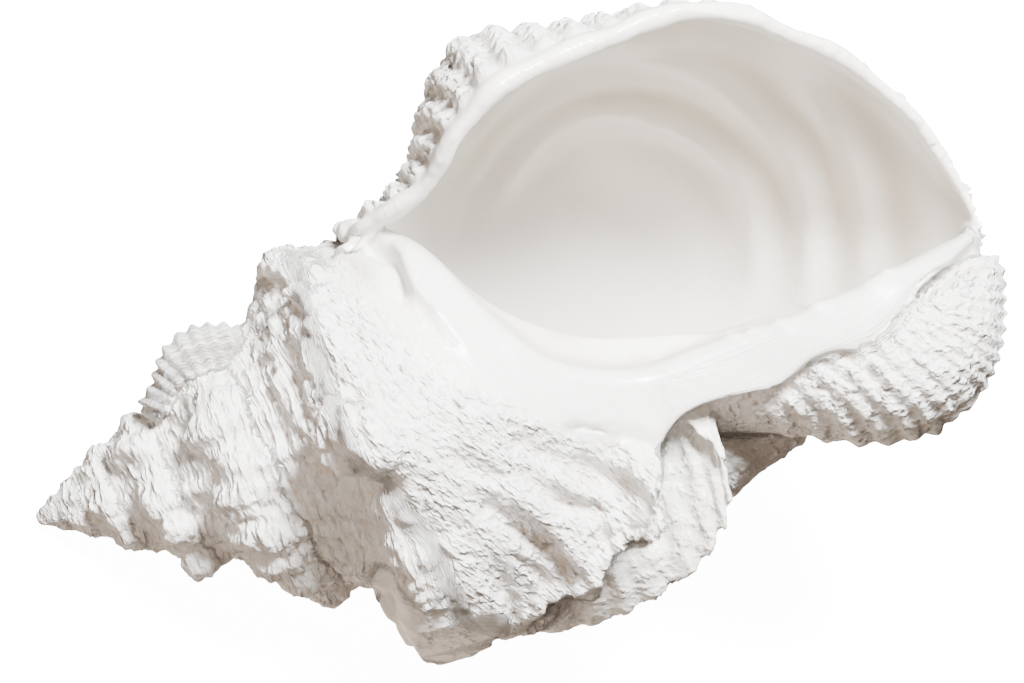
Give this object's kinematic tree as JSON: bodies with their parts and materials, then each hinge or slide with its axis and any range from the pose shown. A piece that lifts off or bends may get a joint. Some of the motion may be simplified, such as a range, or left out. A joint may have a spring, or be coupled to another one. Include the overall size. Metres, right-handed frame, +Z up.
{
  "type": "conch shell",
  "caption": "Large knobbed sea snail shell with a pointed spire, a wide flared mouth and a ribbed canal fan, lying at rest as an ornament",
  "frame": {"origin": "centre of the bounding box on the floor plane under the shell as it lies at rest", "axes": "+Z up, +X from the spire tip towards the canal end seen from above, +Y towards the flared lip's side"},
  "size_m": [0.2088, 0.137, 0.143],
  "materials": {
    "shell": "chalky white shell, dull and pitted outside, smooth and slightly glossy in and around the mouth"
  },
  "bodies": {
    "root": {"conch_shell": "shell"}
  },
  "joints": []
}
